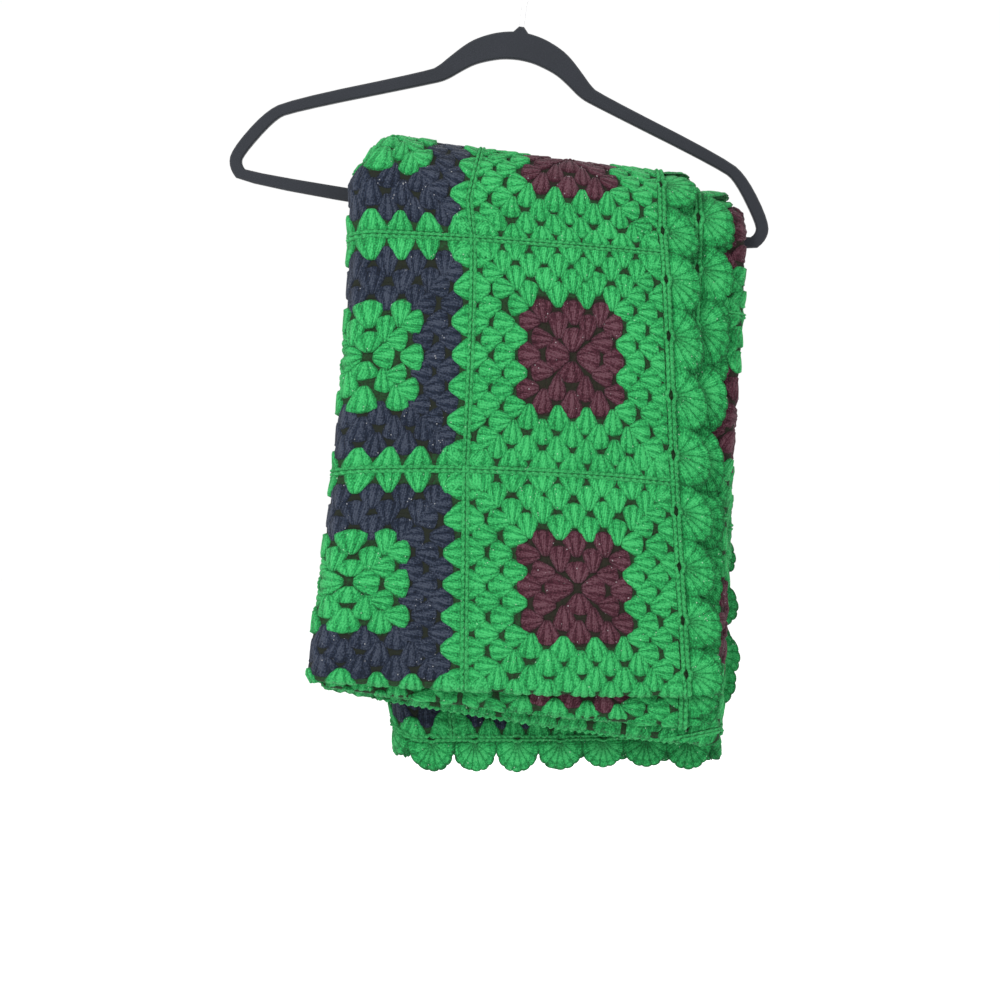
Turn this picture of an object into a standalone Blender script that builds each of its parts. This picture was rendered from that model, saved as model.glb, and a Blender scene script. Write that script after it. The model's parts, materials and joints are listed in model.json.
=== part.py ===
"""A crocheted granny-square blanket, folded and hung over the bar of a clothes hanger.

Lengths are in millimetres and become metres where a mesh is made. X runs along the hanger to the right, Y away
from the blanket's front and Z up. The origin is the inner top of the hook, where the hanger rests on its rail.

The blanket is one sheet. It was folded in half along its length, which makes the plain fold at the front's
lower edge, then across its width in quarters, and the packet was laid over the bar. Its flat place is (s, r):
s runs across the width from one free side edge to the other, and r along the length, from one end over the bar,
round the front's lower fold and over the bar again to the other end.
"""

import math

import bmesh
import bpy
import numpy as np

MM = 0.001

# Hanger
TILT = math.radians(7.65)  # the right end hangs lower
HOOK_RISE = 71.6  # from the arch's top to the rail, along the hanger's own axis
BODY_THICK = 5.5
BODY_BEVEL = 1.2
# Half of the hanger's body in its own frame: the arch's top is (0, 0).
#            outer a, outer b, inner a, inner b
BODY_STATIONS = (
    (0.0, 0.0, 0.0, -22.8),
    (16.3, -2.4, 10.5, -23.6),
    (30.1, -7.7, 19.5, -25.8),
    (41.5, -14.6, 32.5, -30.5),
    (54.5, -27.7, 42.5, -37.2),
    (62.0, -36.0, 54.5, -46.8),
    (69.1, -41.2, 65.1, -51.2),
    (180.6, -80.5, 176.9, -89.8),
    (199.1, -94.0, 189.5, -98.4),
    (220.7, -127.0, 210.7, -130.2),
    (220.7, -141.0, 210.7, -137.3),
    (209.9, -152.9, 204.9, -143.0),
    (0.0, -159.4, 0.0, -147.5),
)
NUB_WIDTH = 8.6
NUB_RISE = 5.0
WIRE_THICK = 3.6
HOOK_RADIUS = 20.0  # of the space inside the hook
HOOK_LEAVES = math.radians(-48)  # where the stem runs into the hook's circle
HOOK_ENDS = math.radians(196)
STEM_STRAIGHT = 17.0

# The blanket's cloth
CLOTH = 4.0
DOUBLED = 2.5  # from the middle of the doubled cloth to either of its two thicknesses
INNERMOST = 9.8  # from the bar's plane to the middle of the doubled cloth next to it
LAYER_PITCH = 11.3
SQUARE_ACROSS = 166.0
SQUARES_ACROSS = 7
SIDE_ROW = 4.0  # the plain row between the outer squares and the shells of the side edges
SHELL_DEPTH = 27.0
END_SHELL_DEPTH = 24.0
SHELLS_PER_SQUARE = 4
SHELL_VALLEY = 3.0
SHELL_POINTS = (0.0, 0.16, 0.5, 0.84)  # where a shell's outline has its points

N1, N2, N3, N4 = (INNERMOST + k * LAYER_PITCH for k in (3, 2, 1, 0))
OUTER_FOLD = (N1 - N4) / 2
INNER_FOLD = (N2 - N3) / 2
WIDTH = SQUARES_ACROSS * SQUARE_ACROSS + 2 * SIDE_ROW
RUN_1, RUN_3 = 248.0, 284.0  # the flat stretches of layer 1, and of layers 3 and 4; layer 2 takes the rest
# The section across the width, from the free edge of the outermost layer.
#          name, length, number of columns
SECTION = (
    ("layer 1", RUN_1, 5),
    ("left fold", math.pi * OUTER_FOLD, 6),
    ("layer 4", RUN_3, 5),
    ("right fold", math.pi * INNER_FOLD, 4),
    ("layer 3", RUN_3, 5),
    ("inner left fold", math.pi * INNER_FOLD, 4),
    ("layer 2", WIDTH - RUN_1 - 2 * RUN_3 - math.pi * (OUTER_FOLD + 2 * INNER_FOLD), 5),
)
SECTION_ENDS = np.concatenate([[0], np.cumsum([row[1] for row in SECTION])])

# How the layers hang in front of the bar. share runs from the bar, 0, to the lower fold, 1. left is the left
# fold's outer edge, and outer, second and folded are where layer 1, layer 2 and the right fold end.
#        share, left, outer, second, folded, z left, z middle, z right
FRONT = (
    (0.0, -143, 103, 133, 166, -200, -217, -240),
    (0.08, -143, 105, 132, 166, -239, -247, -268),
    (0.54, -156, 113, 125, 153, -430, -429, -444),
    (1.0, -176, 123, 121, 146, -590, -598, -602),
)
BACK = (
    (0.0, -143, 103, 133, 166, -200, -217, -240),
    (0.15, -143, 106, 134, 165, -268, -282, -303),
    (0.5, -134, 122, 139, 160, -425, -433, -444),
    (1.0, -111, 141, 146, 151, -658, -654, -645),
)
MIDDLE_SHARE = 0.36  # where z middle is, from left to right
SHOULDER = 19.0  # how far the left fold draws in over the bar
# How much lower than layer 1 the lower fold hangs, and how much shorter than layer 4 the back ends are, at the
# ends of each stretch of the section.
LOWER_BY = (0.0, 0.0, 5.0, 42.0, 42.0, 8.0, 6.0, 26.0)
SHORTER_BY = (58.0, 36.0, 8.0, 0.0, 3.0, 26.0, 30.0, 46.0)
WAVE = 2.4  # soft waves across both sides

FRONT_ROWS = 9
TOP_ROWS = 6
BACK_ROWS = 8
TURN_ROWS = 4
# r counts: 0 to 3 down the outer thickness (back, over the bar, front), 3 to 4 round the lower fold, and 4 to 7
# up the inner one.
R_END = 7.0


def bar_to_world(a, b):
    """A point of the hanger's own plane, a along it and b up its axis from the arch's top, as (x, z)."""
    b = b - HOOK_RISE
    return (
        a * math.cos(TILT) + b * math.sin(TILT),
        -a * math.sin(TILT) + b * math.cos(TILT),
    )


def smooth_table(share, table, column):
    """The column's value at each share: a cubic through the table's rows, with the slopes of their neighbours."""
    x = np.array([row[0] for row in table])
    y = np.array([row[column] for row in table], float)
    slope = np.gradient(y, x)
    share = np.clip(share, 0, 1)
    i = np.clip(np.searchsorted(x, share, side="right") - 1, 0, len(x) - 2)
    step = x[i + 1] - x[i]
    u = (share - x[i]) / step
    return (
        (1 + 2 * u) * (1 - u) ** 2 * y[i]
        + u * (1 - u) ** 2 * step * slope[i]
        + u * u * (3 - 2 * u) * y[i + 1]
        + u * u * (u - 1) * step * slope[i + 1]
    )


def section(s):
    """Where s lies in the folded width, as arrays: the stretch it is on, the share of the way from left to
    right, how far a fold bulges past that, its distance from the bar's plane, and its normal in that section."""
    inside = np.clip(s, 0, WIDTH)
    k = np.clip(np.searchsorted(SECTION_ENDS, inside, side="right") - 1, 0, 6)
    u = (inside - SECTION_ENDS[k]) / (SECTION_ENDS[k + 1] - SECTION_ENDS[k])
    turn = np.pi * u
    sin, cos = np.sin(turn), np.cos(turn)
    zero, one = np.zeros_like(u), np.ones_like(u)
    middle, right = (N1 + N4) / 2, (N3 + N4) / 2
    share = np.choose(k, [1 - u, zero, u, one, 1 - u, zero, u])
    bulge = np.choose(
        k, [zero, -OUTER_FOLD * sin, zero, INNER_FOLD * sin, zero, -INNER_FOLD * sin, zero]
    )
    off = np.choose(
        k,
        [
            N1 * one,
            middle + OUTER_FOLD * cos,
            N4 * one,
            right - INNER_FOLD * cos,
            N3 * one,
            middle - INNER_FOLD * cos,
            N2 * one,
        ],
    )
    normal_x = np.choose(k, [zero, -sin, zero, sin, zero, sin, zero])
    normal_off = np.choose(k, [one, cos, -one, -cos, one, cos, -one])
    return k, share, bulge, off, normal_x, normal_off


def place(s, r):
    """The middle of the cloth at each flat place (s, r).

    r gives p, the way from the front's lower fold (0) over the bar (1 to 2) to the ends (3), and q, how far this
    thickness lies from the middle of the doubled cloth. The section gives x and the distance from the bar's
    plane. Over the bar that distance turns through half a circle, and below it the tables say how low x hangs.
    Past the ends and the side edges the cloth runs straight on, one millimetre for each one of s, or for each
    hundredth of r.
    """
    s, r = np.broadcast_arrays(np.asarray(s, float), np.asarray(r, float))
    k, share, bulge, off, normal_x, normal_off = section(s)
    past_side = np.clip(-s, 0, None) + np.clip(s - WIDTH, 0, None)
    past_end = 100 * (np.clip(-r, 0, None) + np.clip(r - R_END, 0, None))
    inside = np.clip(r, 0, R_END)
    turn = np.pi * (0.5 - np.clip(inside - 3, 0, 1))
    p = np.clip(3 - inside, 0, None) + np.clip(inside - 4, 0, None)
    q = DOUBLED * np.sin(turn)
    below_fold = DOUBLED * np.cos(turn) * ((inside > 3) & (inside < 4))
    front, back = np.clip(1 - p, 0, 1), np.clip(p - 2, 0, 1)
    angle = np.pi * np.clip(p - 1, 0, 1)

    def column(c):
        at_bar = smooth_table(np.zeros_like(p), FRONT, c)
        return np.where(
            p < 1,
            smooth_table(front, FRONT, c),
            np.where(p > 2, smooth_table(back, BACK, c), at_bar),
        )

    left = column(1) + OUTER_FOLD + SHOULDER * np.sin(angle)
    ends = np.where(k == 0, column(2), np.where(k == 6, column(3), column(4) - INNER_FOLD))
    x = left + share * (ends - left) + bulge + q * normal_x + past_side
    off = off + q * normal_off
    reach = (x - column(1)) / (column(4) - column(1))
    m = MIDDLE_SHARE
    z = (
        column(5) * (reach - m) * (reach - 1) / m
        + column(6) * reach * (reach - 1) / (m * (m - 1))
        + column(7) * reach * (reach - m) / (1 - m)
    )
    along = np.interp(np.clip(s, 0, WIDTH), SECTION_ENDS, LOWER_BY)
    short = np.interp(np.clip(s, 0, WIDTH), SECTION_ENDS, SHORTER_BY)
    z = z - along * front**1.5 + short * back - below_fold - past_end
    y = -off * np.cos(angle)
    z = z + off * np.sin(angle)
    ramp = np.clip((front + back) * 3, 0, 1) ** 2
    wave = np.sin(x / 41 + z / 190) * 0.6 + np.sin(x / 23 - z / 75 + 2) * 0.4
    return np.stack([x, y + WAVE * ramp * wave, z], axis=-1)


def normals(s, r):
    """The cloth's outward side on layer 1's outer thickness, by central differences of place()."""
    ds, dr = 0.4, 0.004
    across = place(s + ds, r) - place(s - ds, r)
    along = place(s, r + dr) - place(s, r - dr)
    n = np.cross(across, along)
    return n / np.linalg.norm(n, axis=-1, keepdims=True)


def shell_reach(share, depth):
    """How far a row of shells stands out, share counting whole shells: rounded lobes with narrow valleys."""
    return SHELL_VALLEY + (depth - SHELL_VALLEY) * np.abs(np.sin(np.pi * share)) ** 0.6


def outline_between(start, end):
    """The shares of a shell row from start to end where its outline has points, both ends included."""
    inner = [
        whole + point
        for whole in range(math.floor(start), math.ceil(end) + 1)
        for point in SHELL_POINTS
    ]
    return [start] + [x for x in inner if start + 0.08 < x < end - 0.08] + [end]


def grid_lines():
    """The flat grid's columns in s and rows in r."""
    columns = [0.0]
    for (_, _, count), start, end in zip(SECTION, SECTION_ENDS[:-1], SECTION_ENDS[1:]):
        columns += list(np.linspace(start, end, count + 1)[1:])
    rows = [0.0]
    for end, count in ((1, BACK_ROWS), (2, TOP_ROWS), (3, FRONT_ROWS), (4, TURN_ROWS)):
        rows += list(np.linspace(end - 1, end, count + 1)[1:])
    for end, count in ((5, FRONT_ROWS), (6, TOP_ROWS), (7, BACK_ROWS)):
        rows += list(np.linspace(end - 1, end, count + 1)[1:])
    return np.array(columns), np.array(rows)


def shells_up_to(r):
    """How many side shells lie between an end of the blanket and the row r: one for each row of the front and
    the back, and one for two rows over the bar."""
    if r > 3.5:
        r = R_END - r
    return (
        BACK_ROWS * min(r, 1) + TOP_ROWS / 2 * min(max(r - 1, 0), 1) + FRONT_ROWS * min(max(r - 2, 0), 1)
    )


def flat_mesh():
    """The blanket's flat outline and grid: points (s, r) and faces."""
    columns, rows = grid_lines()
    wide = len(columns)
    points = [(s, r) for r in rows for s in columns]
    faces = [
        (j * wide + i, j * wide + i + 1, (j + 1) * wide + i + 1, (j + 1) * wide + i)
        for j in range(len(rows) - 1)
        for i in range(wide - 1)
    ]

    def add(s, r):
        points.append((s, r))
        return len(points) - 1

    def strip(base, shares, outline):
        """Faces from each base edge to the outline beside it. Returns the strip's two end corners."""
        first = last = add(*outline(shares[0], base[0], base[0], shares[0], shares[0]))
        for k in range(len(base) - 1):
            chain = [last]
            for share in outline_between(shares[k], shares[k + 1])[1:]:
                chain.append(add(*outline(share, base[k], base[k + 1], shares[k], shares[k + 1])))
            faces.append((base[k + 1], base[k], *chain))
            last = chain[-1]
        return first, last

    def side(column, sign):
        """One side edge in two strips, from each end to the lower fold."""
        corners = []
        turn = [j for j, r in enumerate(rows) if 3 <= r <= 4]
        for run in (range(0, turn[0] + 1), range(len(rows) - 1, turn[-1] - 1, -1)):
            base = [j * wide + column for j in run]
            shares = [shells_up_to(rows[j]) for j in run]

            def outline(share, a, b, low, high):
                u = (share - low) / (high - low) if high > low else 0
                r = points[a][1] + u * (points[b][1] - points[a][1])
                s = points[a][0] + sign * shell_reach(share, SHELL_DEPTH)
                return s, r

            corners.append(strip(base, shares, outline))
        (low_end, low_fold), (high_end, high_fold) = corners
        fold = [low_fold] + [
            add(points[low_fold][0], rows[j]) for j in turn[1:-1]
        ] + [high_fold]
        for a, b, j in zip(fold[:-1], fold[1:], turn[:-1]):
            faces.append((j * wide + column, (j + 1) * wide + column, b, a))
        return low_end, high_end

    def end(row, sign):
        base = [row * wide + i for i in range(wide)]
        pitch = SQUARE_ACROSS / SHELLS_PER_SQUARE
        shares = [(s - SIDE_ROW) / pitch for s in columns]

        def outline(share, a, b, low, high):
            s = share * pitch + SIDE_ROW
            return s, points[a][1] + sign * shell_reach(share, END_SHELL_DEPTH) / 100

        return strip(base, shares, outline)

    left_ends = side(0, -1)
    right_ends = side(wide - 1, 1)
    for n, (row, sign) in enumerate(((0, -1), (len(rows) - 1, 1))):
        start, finish = end(row, sign)
        for near, corner, along, across in (
            (left_ends[n], row * wide, start, -1),
            (right_ends[n], row * wide + wide - 1, finish, 1),
        ):
            s, r = points[corner]
            tip = add(s + across * 0.7 * SHELL_DEPTH, r + sign * 0.7 * END_SHELL_DEPTH / 100)
            faces.append((corner, near, tip, along))
    return np.array(points), faces


def facing_one_way(faces):
    """The faces again, each turned to wind as the first does, by walking over their shared edges."""
    owners = {}
    for n, face in enumerate(faces):
        for a, b in zip(face, face[1:] + face[:1]):
            owners.setdefault(frozenset((a, b)), []).append((n, (a, b)))
    turned = {0: False}
    waiting = [0]
    while waiting:
        n = waiting.pop()
        face = faces[n]
        for a, b in zip(face, face[1:] + face[:1]):
            for other, edge in owners[frozenset((a, b))]:
                if other not in turned:
                    turned[other] = turned[n] ^ (edge == (a, b))
                    waiting.append(other)
    return [face[::-1] if turned[n] else face for n, face in enumerate(faces)]


def thickened(points, faces):
    """Both sides of the cloth and the rim that joins them, as points in metres and faces."""
    s, r = points[:, 0], points[:, 1]
    middle, normal = place(s, r), normals(s, r)
    both = np.concatenate([middle + normal * CLOTH / 2, middle - normal * CLOTH / 2]) * MM
    count = len(points)
    edges = {(a, b) for face in faces for a, b in zip(face, face[1:] + face[:1])}
    rim = [(b, a, a + count, b + count) for a, b in edges if (b, a) not in edges]
    rim.sort()
    under = [tuple(i + count for i in face[::-1]) for face in faces]
    return both, list(faces) + under + rim


def material(name, colour, roughness, metallic=0.0):
    made = bpy.data.materials.new(name)
    made.use_nodes = True
    shader = made.node_tree.nodes["Principled BSDF"]
    shader.inputs["Base Color"].default_value = (*colour, 1)
    shader.inputs["Roughness"].default_value = roughness
    shader.inputs["Metallic"].default_value = metallic
    made.diffuse_color = (*colour, 1)
    return made


def mesh_object(name, points, faces, finish):
    """A mesh with its faces turned outwards."""
    mesh = bpy.data.meshes.new(name)
    shape = bmesh.new()
    corners = [shape.verts.new(p) for p in points]
    for face in faces:
        shape.faces.new([corners[i] for i in face])
    bmesh.ops.recalc_face_normals(shape, faces=shape.faces)
    shape.to_mesh(mesh)
    shape.free()
    mesh.materials.append(finish)
    made = bpy.data.objects.new(name, mesh)
    bpy.context.scene.collection.objects.link(made)
    return made


def rounded(loop, times=2):
    """A closed loop with its corners cut at a quarter of each edge, which rounds them and keeps straight runs."""
    for _ in range(times):
        after = np.roll(loop, -1, axis=0)
        loop = np.stack([0.75 * loop + 0.25 * after, 0.25 * loop + 0.75 * after], axis=1)
        loop = loop.reshape(-1, loop.shape[-1])
    return loop


def make_hanger():
    """The flat body: an outer and an inner loop, joined across both faces and both edges, with the nub on top."""
    half = np.array(BODY_STATIONS)
    mirrored = half[1:-1][::-1] * (-1, 1, -1, 1)
    loops = rounded(np.concatenate([half, mirrored]))
    outer, inner = loops[:, :2], loops[:, 2:]
    on_top = (np.abs(outer[:, 0]) < NUB_WIDTH / 2) & (outer[:, 1] > -10)
    nub = np.sqrt(np.clip(1 - (outer[:, 0] / (NUB_WIDTH / 2)) ** 2, 0, 1)) * NUB_RISE
    outer[:, 1] += np.where(on_top, nub, 0)
    count = len(loops)
    points = []
    for y in (-BODY_THICK / 2, BODY_THICK / 2):
        for loop in (outer, inner):
            points += [(x * MM, y * MM, z * MM) for x, z in (bar_to_world(a, b) for a, b in loop)]
    faces = []
    for i in range(count):
        j = (i + 1) % count
        for first, second in ((0, count), (count, 3 * count), (3 * count, 2 * count), (2 * count, 0)):
            faces.append((first + i, first + j, second + j, second + i))
    body = mesh_object("hanger", points, faces, material("flocked plastic", (0.03, 0.036, 0.05), 0.85))
    bevel = body.modifiers.new("edge", "BEVEL")
    bevel.width = BODY_BEVEL * MM
    bevel.segments = 1
    bevel.limit_method = "ANGLE"
    bevel.angle_limit = math.radians(60)


def make_hook():
    """A bent wire: a stem up the hanger's axis, a bend that leaves it, and a round hook open on the left."""
    middle = HOOK_RISE - HOOK_RADIUS
    radius = HOOK_RADIUS + WIRE_THICK / 2
    start = np.array([0.0, NUB_RISE + 0.3])
    rise = np.array([0.0, NUB_RISE + STEM_STRAIGHT])
    meets = np.array([radius * math.cos(HOOK_LEAVES), middle + radius * math.sin(HOOK_LEAVES)])
    pull = 1.3 * np.linalg.norm(meets - rise)
    leaves = pull * np.array([0.0, 1.0])
    joins = pull * np.array([-math.sin(HOOK_LEAVES), math.cos(HOOK_LEAVES)])
    route = [start, rise]
    for u in np.linspace(0, 1, 9)[1:]:
        route.append(
            (1 + 2 * u) * (1 - u) ** 2 * rise
            + u * (1 - u) ** 2 * leaves
            + u * u * (3 - 2 * u) * meets
            + u * u * (u - 1) * joins
        )
    for angle in np.linspace(HOOK_LEAVES, HOOK_ENDS, 25)[1:]:
        route.append(np.array([radius * math.cos(angle), middle + radius * math.sin(angle)]))
    curve = bpy.data.curves.new("hook", "CURVE")
    curve.dimensions = "3D"
    curve.bevel_depth = WIRE_THICK / 2 * MM
    curve.bevel_resolution = 2
    curve.use_fill_caps = True
    spline = curve.splines.new("POLY")
    spline.points.add(len(route) - 1)
    for point, (a, b) in zip(spline.points, route):
        x, z = bar_to_world(a, b)
        point.co = (x * MM, 0, z * MM, 1)
    curve.materials.append(material("bright wire", (0.6, 0.6, 0.62), 0.25, 1.0))
    bpy.context.scene.collection.objects.link(bpy.data.objects.new("hook", curve))


def make_blanket():
    points, faces = flat_mesh()
    solid = thickened(points, facing_one_way(faces))
    mesh_object("afghan", *solid, material("crocheted wool", (0.06, 0.42, 0.13), 0.9))


def main():
    for old in list(bpy.data.objects):
        bpy.data.objects.remove(old)
    make_hanger()
    make_hook()
    make_blanket()


main()
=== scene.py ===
"""Crochets a folded granny-square blanket over its hanger.

The blanket has a flat place for every stitch: s runs across its width from one free side edge to the other
and v along its length, zero at the fold in front and positive up the front, over the bar and down the back in
the outer thickness, negative in the inner one. Everything is made flat in (s, v, height) and then laid on the
folds by one function. Lengths are in millimetres until a mesh is made.
"""

import json
import math

import bpy
import numpy as np
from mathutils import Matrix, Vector

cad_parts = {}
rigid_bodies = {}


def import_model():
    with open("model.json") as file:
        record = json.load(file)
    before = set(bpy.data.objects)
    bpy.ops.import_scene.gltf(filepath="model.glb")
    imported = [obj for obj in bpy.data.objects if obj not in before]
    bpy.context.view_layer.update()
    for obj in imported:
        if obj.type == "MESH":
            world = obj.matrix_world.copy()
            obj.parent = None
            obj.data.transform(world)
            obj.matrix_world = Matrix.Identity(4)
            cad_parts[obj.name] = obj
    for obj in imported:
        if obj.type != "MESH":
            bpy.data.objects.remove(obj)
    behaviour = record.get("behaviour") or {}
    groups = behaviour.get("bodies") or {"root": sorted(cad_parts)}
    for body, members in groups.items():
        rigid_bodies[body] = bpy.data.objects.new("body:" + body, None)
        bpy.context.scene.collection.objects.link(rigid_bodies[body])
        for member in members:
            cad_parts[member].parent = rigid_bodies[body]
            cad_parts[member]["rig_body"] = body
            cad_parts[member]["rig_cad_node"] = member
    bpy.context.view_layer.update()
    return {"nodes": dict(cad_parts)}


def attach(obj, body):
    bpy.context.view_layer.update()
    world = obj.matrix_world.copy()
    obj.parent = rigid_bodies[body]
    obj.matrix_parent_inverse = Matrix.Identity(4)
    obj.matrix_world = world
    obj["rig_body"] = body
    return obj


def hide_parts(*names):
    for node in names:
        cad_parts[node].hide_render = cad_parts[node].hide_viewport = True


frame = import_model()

bl_info = {
    "name": "Granny Square Blanket",
    "version": (1, 0, 0),
    "blender": (4, 5, 0),
    "location": "View3D > Sidebar > Blanket",
    "description": "Crochets a folded granny-square blanket over the bar of a clothes hanger",
    "category": "Add Mesh",
}

MM = 0.001
BODY = "root"

# The folds, as the frame's blanket has them: half the distance between its two thicknesses, the innermost
# layer's distance from the bar's plane and the step to the next layer.
DOUBLED = 2.5
INNERMOST = 9.8
LAYER_PITCH = 11.3
SQUARE_ACROSS = 166.0
SQUARE_ALONG = 182.0
SQUARES_ACROSS = 7
SQUARES_ALONG = 5
SIDE_ROW = 4.0
SHELL_DEPTH = 27.0
END_SHELL_DEPTH = 24.0
SHELLS_PER_SQUARE = 4
# Ribs of chain stitches: one stitch, the step between their points, and how wide each kind is.
CHAIN_STITCH = 5.4
RIB_STEP = 1.35
JOIN_WIDE = 7.4
SIDE_WIDE = 8.6
END_WIDE = 6.6
# The four layers' distances from the bar's plane, in the order in which s reaches them
N1, N4, N3, N2 = (INNERMOST + k * LAYER_PITCH for k in (3, 0, 1, 2))
OUTER_FOLD = (N1 - N4) / 2
INNER_FOLD = (N2 - N3) / 2
WIDTH = SQUARES_ACROSS * SQUARE_ACROSS + 2 * SIDE_ROW
RUN_1, RUN_3 = 248.0, 284.0
RUNS = (
    RUN_1,
    math.pi * OUTER_FOLD,
    RUN_3,
    math.pi * INNER_FOLD,
    RUN_3,
    math.pi * INNER_FOLD,
    WIDTH - RUN_1 - 2 * RUN_3 - math.pi * (OUTER_FOLD + 2 * INNER_FOLD),
)
RUN_ENDS = np.concatenate([[0], np.cumsum(RUNS)])
# Where x and z are, at shares of the way from the bar down. The x are of the left folds, the two free edges
# and the right fold.
#        share, left, outer, second, folded, z left, z middle, z right
FRONT = (
    (0.0, -143, 103, 133, 166, -200, -217, -240),
    (0.08, -143, 105, 132, 166, -239, -247, -268),
    (0.54, -156, 113, 125, 153, -430, -429, -444),
    (1.0, -176, 123, 121, 146, -590, -598, -602),
)
BACK = (
    (0.0, -143, 103, 133, 166, -200, -217, -240),
    (0.15, -143, 106, 134, 165, -268, -282, -303),
    (0.5, -134, 122, 139, 160, -425, -433, -444),
    (1.0, -111, 141, 146, 151, -658, -654, -645),
)
# The middle of the three z is this share of the way across, and over the bar the left folds lie further in.
MIDDLE_SHARE = 0.36
SHOULDER = 19.0
# Past its two ends the cloth runs straight on, this far for one more in r.
PAST_END = 100.0
# At the ends of the stretches of s, how much lower the front hangs and how much shorter the back is
LOWER_BY = (0.0, 0.0, 5.0, 42.0, 42.0, 8.0, 6.0, 26.0)
SHORTER_BY = (58.0, 36.0, 8.0, 0.0, 3.0, 26.0, 30.0, 46.0)
WAVE = 2.4
R_END = 7.0
# How far the stitches lie from the even chart on the front, pulled by their own weight, in millimetres.
#        v, along at the right, along at the left, across
SLIP = (
    (-150, 0, 0, 0),
    (0, -5, -8, 14),
    (182, 4, 5, 6),
    (364, 6, 0, 6),
    (455, -3, -12, 0),
    (520, -4, -14, 0),
    (700, 0, 0, 0),
)
# The share of the move across at each s, and the s from which the values at the left hold.
SLIP_ACROSS = ((-20, 0, 90, 240, 320), (0, 0, 1, 1, 0))
SLIP_LEFT = 300
# The layers behind were folded off the joins: by how much along at each s, less with the distance from the
# fold in front.
SLIP_BEHIND = ((330, 420, 560, 640, 850, 905), (0, 20, 34, 6, 6, 43))
SLIP_FADES = ((60, 400), (1, 0))

# Lengths along the cloth
FRONT_LENGTH = 394.0
BACK_LENGTH = 430.0
HALF_TURN = math.pi * DOUBLED / 2
HALF_LENGTH = SQUARES_ALONG * SQUARE_ALONG

# Squares, in half sides: round k ends START + k * STEP from the centre, and its clusters stand PITCH apart.
ROUNDS = 7
PITCH = 0.2825
ROOT_OVERLAP = 0.07
TOP_OVERLAP = 0.04
# The first round starts this far from the centre, and these are the limits outwards and along a side.
CENTRE_GAP = 0.035
OUT_LIMIT = 0.985
SIDE_LIMIT = 0.975
# One letter for each column of squares: R has a burgundy centre, N a green centre in a navy ring.
COLUMN_KINDS = "RNNRNRR"
ROUND_YARNS = {"R": "rrrgggg", "N": "gggnnng"}
START = {"R": 0.135, "N": 0.095}
STEP = {"R": 0.125, "N": 0.1285}
SHORTER = 0.06


class YarnColours(bpy.types.PropertyGroup):
    green: bpy.props.FloatVectorProperty(
        name="Green", description="The main yarn", subtype="COLOR", size=3,
        default=(0.009, 0.195, 0.047),
    )
    navy: bpy.props.FloatVectorProperty(
        name="Navy", description="The yarn of the dark rings", subtype="COLOR", size=3,
        default=(0.007, 0.012, 0.025),
    )
    burgundy: bpy.props.FloatVectorProperty(
        name="Burgundy", description="The yarn of the red centres", subtype="COLOR", size=3,
        default=(0.041, 0.0085, 0.016),
    )
    flock: bpy.props.FloatVectorProperty(
        name="Flock", description="The hanger's flocked body", subtype="COLOR", size=3,
        default=(0.0095, 0.011, 0.0145),
    )


class StitchSizes(bpy.types.PropertyGroup):
    cloth: bpy.props.FloatProperty(
        name="Cloth", description="Thickness of the cloth behind the stitches, in millimetres",
        default=2.4, min=1,
    )
    cluster_height: bpy.props.FloatProperty(
        name="Cluster height", description="Thickness of a cluster of posts, in millimetres",
        default=3.0, min=1,
    )
    tilt: bpy.props.FloatProperty(
        name="Tilt", description="How much higher a cluster's root is than its top, in millimetres",
        default=1.6, min=0,
    )
    rib_height: bpy.props.FloatProperty(
        name="Rib height", description="Height of the ribs along the joins, in millimetres",
        default=5.0, min=1,
    )
    shell_thick: bpy.props.FloatProperty(
        name="Shell thickness", description="Thickness of the border's shells, in millimetres",
        default=4.2, min=1,
    )
    unevenness: bpy.props.FloatProperty(
        name="Unevenness", description="How much stitches differ from each other",
        default=1.0, min=0, max=2,
    )


class StudioSizes(bpy.types.PropertyGroup):
    camera_distance: bpy.props.FloatProperty(
        name="Camera distance", description="From the hanger's plane", subtype="DISTANCE", unit="LENGTH",
        default=1.5,
    )
    lens: bpy.props.FloatProperty(name="Lens", description="Focal length in millimetres", default=66.4)
    floor_drop: bpy.props.FloatProperty(
        name="Floor", description="How far the floor is below the rail", subtype="DISTANCE", unit="LENGTH",
        default=1.05,
    )


def smooth_table(share, table, column):
    """The column's value at each share: a cubic through the table's rows, with their neighbours' slopes."""
    x = np.array([row[0] for row in table])
    y = np.array([row[column] for row in table], float)
    slope = np.gradient(y, x)
    share = np.clip(share, 0, 1)
    i = np.clip(np.searchsorted(x, share, side="right") - 1, 0, len(x) - 2)
    step = x[i + 1] - x[i]
    u = (share - x[i]) / step
    return (
        (1 + 2 * u) * (1 - u) ** 2 * y[i]
        + u * (1 - u) ** 2 * step * slope[i]
        + u * u * (3 - 2 * u) * y[i + 1]
        + u * u * (u - 1) * step * slope[i + 1]
    )


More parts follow.
